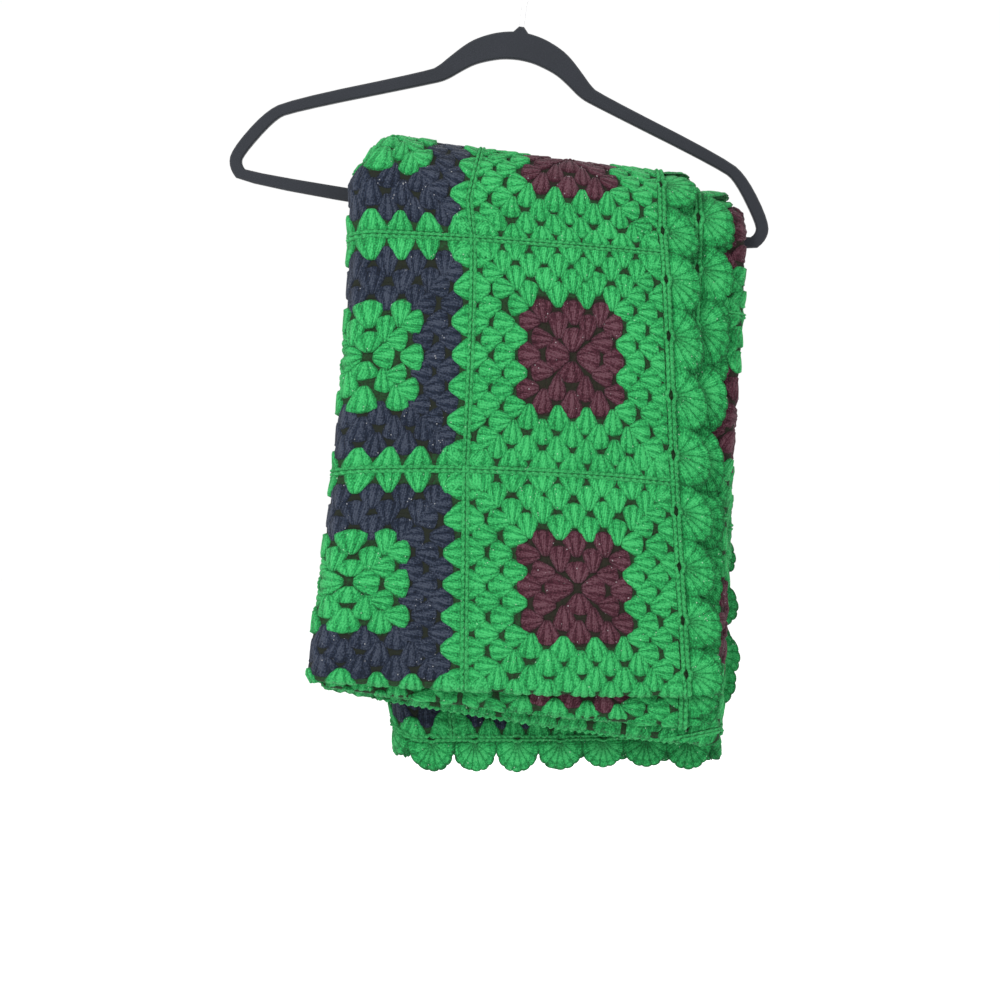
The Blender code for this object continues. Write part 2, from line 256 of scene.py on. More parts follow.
def section(s):
    """Where s lies in the folded width: flat stretches and half circles in turn.

    Returns the stretch, the share of the way from left to right, the fold's bulge past that, the distance
    from the bar and the normal.
    """
    inside = np.clip(s, 0, WIDTH)
    k = np.clip(np.searchsorted(RUN_ENDS, inside, side="right") - 1, 0, 6)
    u = (inside - RUN_ENDS[k]) / (RUN_ENDS[k + 1] - RUN_ENDS[k])
    sin, cos = np.sin(np.pi * u), np.cos(np.pi * u)
    zero, one = np.zeros_like(u), np.ones_like(u)
    middle, right = (N1 + N4) / 2, (N3 + N4) / 2
    share = np.choose(k, [1 - u, zero, u, one, 1 - u, zero, u])
    bulge = np.choose(
        k, [zero, -OUTER_FOLD * sin, zero, INNER_FOLD * sin, zero, -INNER_FOLD * sin, zero]
    )
    off = np.choose(
        k,
        [
            N1 * one,
            middle + OUTER_FOLD * cos,
            N4 * one,
            right - INNER_FOLD * cos,
            N3 * one,
            middle - INNER_FOLD * cos,
            N2 * one,
        ],
    )
    normal_x = np.choose(k, [zero, -sin, zero, sin, zero, sin, zero])
    normal_off = np.choose(k, [one, cos, -one, -cos, one, cos, -one])
    return k, share, bulge, off, normal_x, normal_off


def place(s, r):
    """The middle of the cloth at (s, r), where r counts the back, the bar and the front (0 to 3), the fold in
    front (3 to 4) and the inner thickness (4 to 7).

    The section gives x and the distance from the bar's plane. Over the bar that distance turns through half a
    circle, and below it the tables say how low each x hangs. Past the edges the cloth runs straight on. Slow
    waves, at most WAVE deep, grow from nothing at the bar.
    """
    k, share, bulge, off, normal_x, normal_off = section(s)
    past_side = np.clip(-s, 0, None) + np.clip(s - WIDTH, 0, None)
    past_end = PAST_END * (np.clip(-r, 0, None) + np.clip(r - R_END, 0, None))
    inside = np.clip(r, 0, R_END)
    turn = np.pi * (0.5 - np.clip(inside - 3, 0, 1))
    p = np.clip(3 - inside, 0, None) + np.clip(inside - 4, 0, None)
    q = DOUBLED * np.sin(turn)
    below_fold = DOUBLED * np.cos(turn) * ((inside > 3) & (inside < 4))
    front, back = np.clip(1 - p, 0, 1), np.clip(p - 2, 0, 1)
    angle = np.pi * np.clip(p - 1, 0, 1)

    def column(c):
        at_bar = smooth_table(np.zeros_like(p), FRONT, c)
        return np.where(
            p < 1,
            smooth_table(front, FRONT, c),
            np.where(p > 2, smooth_table(back, BACK, c), at_bar),
        )

    left = column(1) + OUTER_FOLD + SHOULDER * np.sin(angle)
    ends = np.where(k == 0, column(2), np.where(k == 6, column(3), column(4) - INNER_FOLD))
    x = left + share * (ends - left) + bulge + q * normal_x + past_side
    off = off + q * normal_off
    reach = (x - column(1)) / (column(4) - column(1))
    m = MIDDLE_SHARE
    z = (
        column(5) * (reach - m) * (reach - 1) / m
        + column(6) * reach * (reach - 1) / (m * (m - 1))
        + column(7) * reach * (reach - m) / (1 - m)
    )
    z = z - lower_by(s) * front**1.5 + shorter_by(s) * back - below_fold - past_end
    y = -off * np.cos(angle)
    z = z + off * np.sin(angle)
    ramp = np.clip((front + back) * 3, 0, 1) ** 2
    wave = np.sin(x / 41 + z / 190) * 0.6 + np.sin(x / 23 - z / 75 + 2) * 0.4
    return np.stack([x, y + WAVE * ramp * wave, z], axis=-1)


def lower_by(s):
    return np.interp(np.clip(s, 0, WIDTH), RUN_ENDS, LOWER_BY)


def shorter_by(s):
    return np.interp(np.clip(s, 0, WIDTH), RUN_ENDS, SHORTER_BY)


def row_of(s, v):
    """r for a length v along the cloth: the front and the back take their own lengths at s, and the bar takes
    what is left of half the blanket."""
    front = FRONT_LENGTH + lower_by(s)
    back = BACK_LENGTH - shorter_by(s)
    a = np.abs(v) - HALF_TURN
    bar = HALF_LENGTH - HALF_TURN - front - back
    r = np.where(
        a < front,
        3 - a / front,
        np.where(
            a < front + bar,
            2 - (a - front) / bar,
            np.where(
                a < front + bar + back,
                1 - (a - front - bar) / back,
                (front + bar + back - a) / PAST_END,
            ),
        ),
    )
    turning = 3.5 - v / (2 * HALF_TURN)
    return np.where(a < 0, turning, np.where(v > 0, r, R_END - r))


def length_of(s, r):
    """The inverse of row_of: v at (s, r), inside the blanket."""
    front = FRONT_LENGTH + lower_by(s)
    back = BACK_LENGTH - shorter_by(s)
    bar = HALF_LENGTH - HALF_TURN - front - back
    rr = np.where(r > 3.5, R_END - r, r)
    a = np.where(
        rr > 2, front * (3 - rr), np.where(rr > 1, front + bar * (2 - rr), front + bar + back * (1 - rr))
    )
    v = a + HALF_TURN
    turning = (3.5 - r) * 2 * HALF_TURN
    return np.where((r > 3) & (r < 4), turning, np.where(r > 3.5, -v, v))


def slip(s, v):
    """How far the stitch charted at (s, v) lies from there, as (ds, dv)."""
    rows = np.array(SLIP, float)
    right, left, across = (np.interp(v, rows[:, 0], rows[:, c]) for c in (1, 2, 3))
    behind = np.interp(s, *SLIP_BEHIND) * np.interp(np.abs(v), *SLIP_FADES)
    along = right + (left - right) * np.clip(s / SLIP_LEFT, 0, 1)
    return -across * np.interp(s, *SLIP_ACROSS), along + behind


def normals(s, r):
    """The right side of the cloth, by central differences of place()."""
    ds, dr = 0.4, 0.004
    across = place(s + ds, r) - place(s - ds, r)
    along = place(s, r + dr) - place(s, r - dr)
    n = np.cross(across, along)
    return n / np.maximum(np.linalg.norm(n, axis=-1, keepdims=True), 1e-9)


def on_cloth(s, v, height):
    """World places, in metres, of flat points: the cloth's middle at (s, v) plus height along its normal."""
    s, v, height = (np.asarray(x, float).ravel() for x in np.broadcast_arrays(s, v, height))
    ds, dv = slip(s, v)
    s, v = s + ds, v + dv
    r = row_of(s, v)
    return (place(s, r) + normals(s, r) * height[:, None]) * MM


def grid_faces(rows, columns, first=0):
    """Quads of a grid of points laid row after row."""
    j, i = np.meshgrid(np.arange(rows - 1), np.arange(columns - 1), indexing="ij")
    a = (first + j * columns + i).ravel()
    return np.stack([a, a + 1, a + 1 + columns, a + columns], axis=1)


def many_grids(count, rows, columns):
    """Quads of many equal grids, one after the other."""
    one = grid_faces(rows, columns)
    shift = (np.arange(count) * rows * columns)[:, None, None]
    return (one[None] + shift).reshape(-1, 4)


def new_piece(name, points, faces, material, values=None, uv=None):
    """A mesh object at the origin from arrays, with a number for each point under each name in values."""
    mesh = bpy.data.meshes.new(name)
    mesh.vertices.add(len(points))
    mesh.vertices.foreach_set("co", np.asarray(points, np.float32).ravel())
    mesh.loops.add(faces.size)
    mesh.loops.foreach_set("vertex_index", np.asarray(faces, np.int32).ravel())
    mesh.polygons.add(len(faces))
    mesh.polygons.foreach_set("loop_start", np.arange(0, faces.size, faces.shape[1], dtype=np.int32))
    mesh.polygons.foreach_set("loop_total", np.full(len(faces), faces.shape[1], np.int32))
    mesh.update(calc_edges=True)
    mesh.validate()
    mesh.shade_smooth()
    for key, value in (values or {}).items():
        attribute = mesh.attributes.new(key, "FLOAT", "POINT")
        attribute.data.foreach_set("value", np.asarray(value, np.float32).ravel())
    if uv is not None:
        corner = np.zeros(len(mesh.loops), np.int32)
        mesh.loops.foreach_get("vertex_index", corner)
        mesh.uv_layers.new(name="Flat").data.foreach_set("uv", np.asarray(uv, np.float32)[corner].ravel())
    mesh.materials.append(material)
    piece = bpy.data.objects.new(name, mesh)
    bpy.context.scene.collection.objects.link(piece)
    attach(piece, BODY)
    return piece


class Nodes:
    """Small helpers that add shader nodes and join them."""

    def __init__(self, name):
        self.material = bpy.data.materials.new(name)
        self.material.use_nodes = True
        self.tree = self.material.node_tree
        self.shader = self.tree.nodes["Principled BSDF"]

    def add(self, kind, settings=(), **inputs):
        node = self.tree.nodes.new(kind)
        for key, value in dict(settings).items():
            setattr(node, key, value)
        for key, value in inputs.items():
            socket = node.inputs[int(key[1:]) if key[0] == "_" else key.replace("_", " ")]
            if isinstance(value, bpy.types.NodeSocket):
                self.tree.links.new(value, socket)
            else:
                socket.default_value = value
        return node

    def noise(self, at, scale, detail, roughness=0.5):
        node = self.add("ShaderNodeTexNoise", Vector=at, Scale=scale, Detail=detail, Roughness=roughness)
        return node.outputs["Fac"]

    def math(self, operation, *values):
        named = {f"_{i}": value for i, value in enumerate(values)}
        return self.add("ShaderNodeMath", {"operation": operation}, **named).outputs[0]

    def mix(self, factor, a, b):
        node = self.add("ShaderNodeMix", {"data_type": "RGBA"})
        for index, value in ((0, factor), (6, a), (7, b)):
            if isinstance(value, bpy.types.NodeSocket):
                self.tree.links.new(value, node.inputs[index])
            else:
                node.inputs[index].default_value = value
        return node.outputs[2]

    def join(self, output, name):
        self.tree.links.new(output, self.shader.inputs[name])


def colour_of(rgb, lighter=1.0):
    return (*(min(1.0, c * lighter) for c in rgb), 1.0)


def yarn_material(name, rgb):
    """Fuzzy acrylic yarn: darker between the posts by painted shade, with strands and lint and a few painted
    glints.
    """
    n = Nodes(name)
    place_at = n.add("ShaderNodeTexCoord").outputs["Object"]
    painted_shade = n.add("ShaderNodeAttribute", {"attribute_name": "painted_shade"}).outputs["Fac"]
    along = n.add("ShaderNodeAttribute", {"attribute_name": "strand"}).outputs["Fac"]
    lint = n.noise(place_at, 700.0, 4.0, 0.7)
    patch = n.noise(place_at, 42.0, 2.0)
    fibre = n.noise(place_at, 1300.0, 3.0, 0.7)
    twist = n.math("SINE", n.math("ADD", n.math("MULTIPLY", along, 34.0), n.math("MULTIPLY", lint, 9.0)))
    # The first term of the tone is painted shade: dark between the posts, in grooves and at the rims, light
    # on the crests. Lint, patches and twist add random tone.
    tone = n.math("MULTIPLY", painted_shade, 0.95)
    tone = n.math("ADD", tone, n.math("MULTIPLY", n.math("SUBTRACT", lint, 0.5), 2.7))
    tone = n.math("ADD", tone, n.math("MULTIPLY", n.math("SUBTRACT", patch, 0.5), 0.7))
    tone = n.math("ADD", tone, n.math("MULTIPLY", twist, 0.1))
    # The ramp's dark end is painted shade; its paler end is reached on the crests, which is painted light,
    # and on light lint.
    ramp = n.add("ShaderNodeValToRGB", Fac=tone)
    stops = ramp.color_ramp.elements
    stops[0].position, stops[0].color = 0.0, colour_of(rgb, 0.32)
    stops[1].position, stops[1].color = 1.0, colour_of([c * 1.5 + 0.022 for c in rgb])
    middle = stops.new(0.55)
    middle.color = colour_of(rgb, 0.95)
    # Painted glints: rare tiny spots where the colour is mixed towards a pale near-white, standing in for
    # glints of light on the fuzz.
    glint = n.add("ShaderNodeTexVoronoi", {"feature": "F1"}, Vector=place_at, Scale=330.0).outputs["Distance"]
    rare = n.noise(place_at, 160.0, 1.0)
    painted_glints = n.math("MULTIPLY", n.math("LESS_THAN", glint, 0.17), n.math("GREATER_THAN", rare, 0.63))
    pale = colour_of([0.5 * c + 0.32 for c in rgb])
    n.join(n.mix(n.math("MULTIPLY", painted_glints, 0.6), ramp.outputs["Color"], pale), "Base Color")
    height = n.math("ADD", n.math("MULTIPLY", lint, 1.0), n.math("MULTIPLY", fibre, 0.6))
    height = n.math("ADD", height, n.math("MULTIPLY", twist, 0.25))
    bump = n.add("ShaderNodeBump", Strength=0.8, Distance=0.0011, Height=height)
    n.join(bump.outputs["Normal"], "Normal")
    n.shader.inputs["Roughness"].default_value = 0.88
    n.shader.inputs["Sheen Weight"].default_value = 0.08
    n.shader.inputs["Sheen Roughness"].default_value = 0.5
    n.shader.inputs["Sheen Tint"].default_value = colour_of([0.5 + 0.5 * c for c in rgb])
    n.shader.inputs["Specular IOR Level"].default_value = 0.12
    return n.material


def base_material(name, colours):
    """The cloth behind the stitches, charted on its flat map: each square's rounds from the larger of its two
    distances from the centre, cluster by cluster, with painted shade that makes the gaps between them nearly
    black.
    Where clusters lie over it, the cloth is darkened with painted shade too."""
    n = Nodes(name)
    flat = n.add("ShaderNodeUVMap", {"uv_map": "Flat"}).outputs["UV"]
    split = n.add("ShaderNodeSeparateXYZ", Vector=flat)
    u, v = split.outputs["X"], split.outputs["Y"]

    def centred(value):
        return n.math("ABSOLUTE", n.math("SUBTRACT", n.math("MULTIPLY", n.math("FRACT", value), 2.0), 1.0))

    a, b = centred(u), centred(v)
    column = n.math("DIVIDE", n.math("ADD", n.math("FLOOR", u), 0.5), float(SQUARES_ACROSS))
    chart = n.add("ShaderNodeValToRGB", Fac=column)
    chart.color_ramp.interpolation = "CONSTANT"
    stops = chart.color_ramp.elements
    for i, kind in enumerate(COLUMN_KINDS):
        stop = stops[i] if i < 2 else stops.new(i / SQUARES_ACROSS)
        stop.position = i / SQUARES_ACROSS
        stop.color = (1, 1, 1, 1) if kind == "R" else (0, 0, 0, 1)
    red_kind = chart.outputs["Color"]
    larger, smaller = n.math("MAXIMUM", a, b), n.math("MINIMUM", a, b)
    counts = [
        n.math("MULTIPLY", n.math("SUBTRACT", larger, START[kind]), 1 / STEP[kind]) for kind in "NR"
    ]
    rounds = n.math("ADD", counts[0], n.math("MULTIPLY", n.math("SUBTRACT", counts[1], counts[0]), red_kind))
    odd = n.math("ADD", n.math("FLOOR", rounds), 1.0)
    phase = n.math("ADD", n.math("DIVIDE", smaller, PITCH), n.math("MULTIPLY", odd, 0.5))
    gap = n.math("ABSOLUTE", n.math("SUBTRACT", n.math("MULTIPLY", n.math("FRACT", phase), 2.0), 1.0))
    gap = n.math("SUBTRACT", 1.0, gap)
    top = n.math("ABSOLUTE", n.math("SUBTRACT", n.math("MULTIPLY", n.math("FRACT", rounds), 2.0), 1.0))
    shade = 0.8
    green, navy, red = (colour_of(c, shade) for c in colours)
    inner = n.math("LESS_THAN", rounds, 3.0)
    ring = n.math("MULTIPLY", n.math("LESS_THAN", rounds, 6.0), n.math("SUBTRACT", 1.0, inner))
    reds = n.mix(inner, green, red)
    navies = n.mix(ring, green, navy)
    yarn = n.mix(red_kind, navies, reds)
    place_at = n.add("ShaderNodeTexCoord").outputs["Object"]
    lint = n.noise(place_at, 560.0, 5.0, 0.75)
    # Painted shade in the gaps between clusters and along the edges of the rounds; the same values also sink
    # the bump there.
    hollow_shade = n.math("MULTIPLY", n.math("POWER", gap, 5.0), n.math("SUBTRACT", 1.0, n.math("POWER", top, 3.0)))
    hollow_shade = n.math("ADD", hollow_shade, n.math("MULTIPLY", n.math("POWER", top, 8.0), 0.5))
    shade_under_clusters = n.add("ShaderNodeAttribute", {"attribute_name": "shade_under_clusters"}).outputs["Fac"]
    # The cloth under the shown clusters is darkened with painted shade, so that their gaps read as shadow;
    # lint adds random tone.
    dark = n.math("MAXIMUM", n.math("MULTIPLY", hollow_shade, 0.9), n.math("MULTIPLY", shade_under_clusters, 0.9))
    dark = n.math("ADD", dark, n.math("MULTIPLY", n.math("SUBTRACT", 0.5, lint), 0.9))
    dark = n.add("ShaderNodeClamp", Value=dark).outputs[0]
    n.join(n.mix(dark, yarn, (0.007, 0.009, 0.004, 1)), "Base Color")
    height = n.math("SUBTRACT", n.math("MULTIPLY", lint, 0.5), hollow_shade)
    bump = n.add("ShaderNodeBump", Strength=0.9, Distance=0.002, Height=height)
    n.join(bump.outputs["Normal"], "Normal")
    n.shader.inputs["Roughness"].default_value = 0.92
    n.shader.inputs["Specular IOR Level"].default_value = 0.2
    return n.material


def flock_material(name, rgb):
    """Short flock: a soft dark nap with lint and a little sheen at its edges."""
    n = Nodes(name)
    place_at = n.add("ShaderNodeTexCoord").outputs["Object"]
    nap = n.noise(place_at, 900.0, 4.0, 0.7)
    worn = n.noise(place_at, 14.0, 3.0)
    tone = n.math("ADD", n.math("MULTIPLY", nap, 0.5), n.math("MULTIPLY", worn, 0.6))
    n.join(n.mix(tone, colour_of(rgb, 0.75), colour_of(rgb, 1.5)), "Base Color")
    bump = n.add("ShaderNodeBump", Strength=0.35, Distance=0.0004, Height=nap)
    n.join(bump.outputs["Normal"], "Normal")
    n.shader.inputs["Roughness"].default_value = 0.8
    n.shader.inputs["Sheen Weight"].default_value = 0.25
    n.shader.inputs["Sheen Roughness"].default_value = 0.4
    n.shader.inputs["Specular IOR Level"].default_value = 0.2
    return n.material


def wire_material(name):
    """Bright drawn wire with scuffs in its roughness and colour."""
    n = Nodes(name)
    place_at = n.add("ShaderNodeTexCoord").outputs["Object"]
    scuff = n.noise(place_at, 220.0, 4.0)
    rough = n.math("ADD", n.math("MULTIPLY", scuff, 0.22), 0.12)
    n.join(rough, "Roughness")
    n.join(n.mix(scuff, (0.5, 0.5, 0.52, 1), (0.74, 0.74, 0.75, 1)), "Base Color")
    n.shader.inputs["Metallic"].default_value = 1.0
    return n.material


def settings():
    scene = bpy.context.scene
    return scene.blanket_yarn, scene.blanket_stitches, scene.blanket_studio


CLUSTER = ("column", "line", "du", "dv", "side", "start", "end", "corner", "yarn", "round", "over")


def round_end(kind, k, dv):
    """How far from the centre round k ends, in half sides. The first rounds are shorter along the blanket."""
    return START[kind] + STEP[kind] * k - abs(dv) * SHORTER * (1 - k / ROUNDS)


def square_clusters():
    """Every cluster in the blanket, a row each, with the columns that CLUSTER names.

    Round k has k clusters on each side, so that each sits over a gap of round k - 1. Along the side and
    outwards a cluster's places are in half sides. A corner is -1 or 1 at the two ends of a side.
    """
    rows = []
    for column, kind in enumerate(COLUMN_KINDS):
        for line in range(-SQUARES_ALONG, SQUARES_ALONG):
            for du, dv in ((1, 0), (0, 1), (-1, 0), (0, -1)):
                for k in range(1, ROUNDS + 1):
                    yarn = "gnr".index(ROUND_YARNS[kind][k - 1])
                    start = round_end(kind, k - 1, dv) - ROOT_OVERLAP if k > 1 else CENTRE_GAP
                    end = min(round_end(kind, k, dv) + TOP_OVERLAP, OUT_LIMIT)
                    over = float(kind == "N" and k == 3)
                    for i in range(k):
                        side = (i - (k - 1) / 2) * PITCH
                        corner = 0.0 if k == 1 else (i == k - 1) - float(i == 0)
                        place_of = (column + 0.5, line + 0.5, du, dv, side, start, end, corner)
                        rows.append((*place_of, yarn, k, over))
    return dict(zip(CLUSTER, np.array(rows, float).T))


# What can be seen from outside, as stretches of the flat blanket: s from and to, v from and to.
SHOWN = (
    # The outermost layer, with the left fold and the turn in front
    (-math.inf, RUN_ENDS[2] + 12, -26, math.inf),
    # The turn in front of the layers further in
    (RUN_ENDS[2] - 12, math.inf, -40, 40),
    # The lower part of the layers behind the outermost one, in front
    (RUN_ENDS[4], math.inf, 0, 84),
    # The innermost layer's lower part, at the back
    (RUN_ENDS[2], RUN_ENDS[4] + 3, 740, math.inf),
    # The right fold
    (RUN_ENDS[3] - 42, RUN_ENDS[4] + 30, 0, math.inf),
    # The second free side, in the inner thickness
    (WIDTH - 60, math.inf, -math.inf, 0),
    # The lower end of that layer, at the back
    (WIDTH - 285, math.inf, -math.inf, -780),
)


def shown_clusters(s, v):
    """Whether a cluster at (s, v) can be seen from outside."""
    return np.any([(s > a) & (s < b) & (v > c) & (v < d) for a, b, c, d in SHOWN], axis=0)


# The grid of a cluster, from its middle to one side and from its root to its top: fine on the front and the
# back, coarse on the folds. EGG says how wide a cluster is from root to top, as a share of its widest.
FINE = ((0.0, 0.17, 0.3334, 0.5, 0.6667, 0.88, 1.0), (0.0, 0.07, 0.2, 0.38, 0.58, 0.72, 0.8, 0.9, 1.0))
COARSE = ((0.0, 0.3334, 0.6667, 0.9, 1.0), (0.0, 0.1, 0.3, 0.55, 0.77, 0.9, 1.0))
EGG = (
    (0, 0.08, 0.18, 0.32, 0.46, 0.6, 0.74, 0.86, 0.95, 1.0),
    (0.14, 0.31, 0.45, 0.60, 0.74, 0.87, 0.98, 1.02, 0.95, 0.7),
)


def cluster_surfaces(clusters, grid, height, tilt, uneven, seed):
    """Each cluster of three posts as one puffy fan: flat points (s, v, height), painted shade and strand, and
    faces.

    With a across (-1 to 1) and b from root to top, the fan is EGG(b) wide, and its height is
    tilt * (1 - b) ** 1.5 + height * (0.66 + 0.34 * abs(cos(1.5 * pi * a)) ** 0.8) times an edge that falls to
    nothing all round. A groove and a row of bumps near the top are the chain of the next round. The root is
    higher than the top, so each round lies over the one before it. Where over is 1 the top rises too, over
    the round after it. The last round has straight tops, along the join.
    """
    draw = np.random.default_rng(seed)
    count = len(clusters["side"])
    to_side, along = (np.array(part) for part in grid)
    a = np.concatenate([-to_side[:0:-1], to_side])[None, None, :]
    b = along[None, :, None]

    def column(values):
        return np.asarray(values)[:, None, None]

    def spread(size):
        return column(draw.normal(0, size, count) * uneven)

    names = ("side", "start", "end", "corner", "round", "over", "du", "dv")
    side, start, end, corner, k, over, du, dv = (column(clusters[name]) for name in names)
    last = k == ROUNDS
    at_corner = np.where(last, 0.2, -0.16) * np.abs(corner)
    half = PITCH / 2 * (1.02 + at_corner + 0.12 * (k == 1)) * (1 + spread(0.04))
    wide = np.where(last & (b > 0.8), 1.05, np.interp(b, *EGG))
    end = end + spread(0.007) * (1 - last)
    along_side = side + spread(0.007) + corner * np.where(last, 0.05, 0.01) * b
    along_side = along_side + spread(0.014) * b + a * half * wide
    along_side = np.clip(along_side, -SIDE_LIMIT, SIDE_LIMIT)
    out = start + (end - start) * b - 0.03 * a * a * b * (1 - last) + spread(0.006)
    out = np.minimum(out, OUT_LIMIT)
    edge = (1 - np.abs(a) ** 3.4) ** 0.6 * np.sqrt(np.clip(1 - np.abs(2 * b - 1) ** 7, 0, 1))
    lobes = np.abs(np.cos(1.5 * np.pi * a)) ** 0.8
    groove = np.exp(-(((b - 0.77) / 0.05) ** 2))
    chain = np.exp(-(((b - 0.89) / 0.07) ** 2))
    body = 0.66 + 0.34 * lobes - 0.16 * groove + 0.16 * chain * lobes
    tall = height * (1 + spread(0.08))
    lift = 0.3 + edge * (tilt * (1 - b) ** 1.5 + over * 1.6 * b + tall * body)
    # Painted shade: low at the rim, between the posts and in the groove, high on the crests of the posts.
    painted_shade = edge * (0.42 + 0.58 * lobes) * (1 - 0.45 * groove * (1 - 0.5 * lobes)) + 0 * lift
    strand = a * (0.6 + 0.9 * b) * 0.8 + 0.4 * b + 0 * lift
    s = SIDE_ROW + (column(clusters["column"]) + (du * out + dv * along_side) / 2) * SQUARE_ACROSS
    v = (column(clusters["line"]) + (dv * out - du * along_side) / 2) * SQUARE_ALONG
    faces = many_grids(count, b.size, a.size)
    return s.ravel(), v.ravel(), lift.ravel(), painted_shade.ravel(), strand.ravel(), faces


def facing_out(points, faces, wanted):
    """The faces, turned round if they mostly look away from the wanted directions."""
    corner = points[faces]
    n = np.cross(corner[:, 2] - corner[:, 0], corner[:, 3] - corner[:, 1])
    return faces if (n * wanted[faces[:, 0]]).sum() > 0 else faces[:, ::-1]


def right_side(s, v):
    s, v = np.asarray(s, float).ravel(), np.asarray(v, float).ravel()
    return normals(s, row_of(s, v))


# How many columns the sheet has in each stretch of s, and how many rows in each step of r.
SHEET_COLUMNS = (22, 16, 22, 12, 22, 12, 22)
SHEET_ROWS = (34, 16, 34, 8, 34, 16, 34)


class BLANKET_OT_cloth(bpy.types.Operator):
    """The cloth behind the stitches: one folded sheet with both sides and its rim"""

    bl_idname = "blanket.cloth"
    bl_label = "Folded cloth"

    def execute(self, context):
        yarns, stitches, _ = settings()
        columns = np.concatenate(
            [[0]]
            + [
                np.linspace(start, end, count + 1)[1:]
                for start, end, count in zip(RUN_ENDS[:-1], RUN_ENDS[1:], SHEET_COLUMNS)
            ]
        )
        rows = np.concatenate(
            [[0]]
            + [
                np.linspace(end - 1, end, count + 1)[1:]
                for end, count in zip(range(1, 8), SHEET_ROWS)
            ]
        )
        r, s = (x.ravel() for x in np.meshgrid(rows, columns, indexing="ij"))
        middle, normal = place(s, r), normals(s, r)
        half = stitches.cloth / 2
        points = np.concatenate([middle + normal * half, middle - normal * half]) * MM
        upper = grid_faces(len(rows), len(columns))
        upper = facing_out(points, upper, np.concatenate([normal, normal]))
        count = len(s)
        faces = np.concatenate([upper, upper[:, ::-1] + count])
        edges = np.concatenate([upper[:, [i, (i + 1) % 4]] for i in range(4)])
        key = np.sort(edges, axis=1)
        _, index, times = np.unique(key, axis=0, return_inverse=True, return_counts=True)
        rim = edges[times[index.ravel()] == 1]
        rim = np.stack([rim[:, 1], rim[:, 0], rim[:, 0] + count, rim[:, 1] + count], axis=1)
        faces = np.concatenate([faces, rim])
        v = length_of(s, r)
        ds, dv = slip(s, v)
        uv = np.stack([(s - ds - SIDE_ROW) / SQUARE_ACROSS, (v - dv) / SQUARE_ALONG], axis=1)
        # Marks where clusters lie over the cloth, for its painted shade.
        shade_under_clusters = shown_clusters(s, v).astype(float)
        material = base_material("crochet_ground", (yarns.green, yarns.navy, yarns.burgundy))
        piece = new_piece(
            "afghan_cloth",
            points,
            faces,
            material,
            {"shade_under_clusters": np.concatenate([shade_under_clusters, 0 * shade_under_clusters])},
            np.concatenate([uv, uv]),
        )
        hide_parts("afghan")
        return {"FINISHED"}


class BLANKET_OT_clusters(bpy.types.Operator):
    """The clusters of three posts that make up the squares, in three yarns"""

    bl_idname = "blanket.clusters"
    bl_label = "Clusters"

    def execute(self, context):
        _, stitches, _ = settings()
        clusters = square_clusters()
        out, side = (clusters["start"] + clusters["end"]) / 2, clusters["side"]
        du, dv = clusters["du"], clusters["dv"]
        s = SIDE_ROW + (clusters["column"] + (du * out + dv * side) / 2) * SQUARE_ACROSS
        v = (clusters["line"] + (dv * out - du * side) / 2) * SQUARE_ALONG
        ds, dv = slip(s, v)
        shown = shown_clusters(s + ds, v + dv)
        outermost = s < RUN_ENDS[2]
        top_of_bar = FRONT_LENGTH + 70
        in_front = outermost & (v > 0) & (v < top_of_bar)
        parts = (
            ("front", shown & in_front, FINE),
            ("back", shown & ~in_front & outermost, FINE),
            ("folds", shown & ~in_front & ~outermost, COARSE),
        )
        yarns = (("green", 1.0, 1.0), ("navy", 0.78, 0.3), ("burgundy", 0.9, 0.9))
        for index, (yarn, lower, flatter) in enumerate(yarns):
            for seed, (stretch, part, grid) in enumerate(parts):
                wanted = part & (clusters["yarn"] == index)
                chosen = {key: column[wanted] for key, column in clusters.items()}
                ps, pv, lift, painted_shade, strand, faces = cluster_surfaces(
                    chosen, grid, stitches.cluster_height * lower, stitches.tilt * flatter,
                    stitches.unevenness, 10 * index + seed,
                )
                points = on_cloth(ps, pv, lift)
                faces = facing_out(points, faces, right_side(ps, pv))
                material = bpy.data.materials[f"{yarn}_yarn"]
                values = {"painted_shade": painted_shade, "strand": strand}
                name = f"{yarn}_clusters_{stretch}"
                new_piece(name, points, faces, material, values)
        return {"FINISHED"}


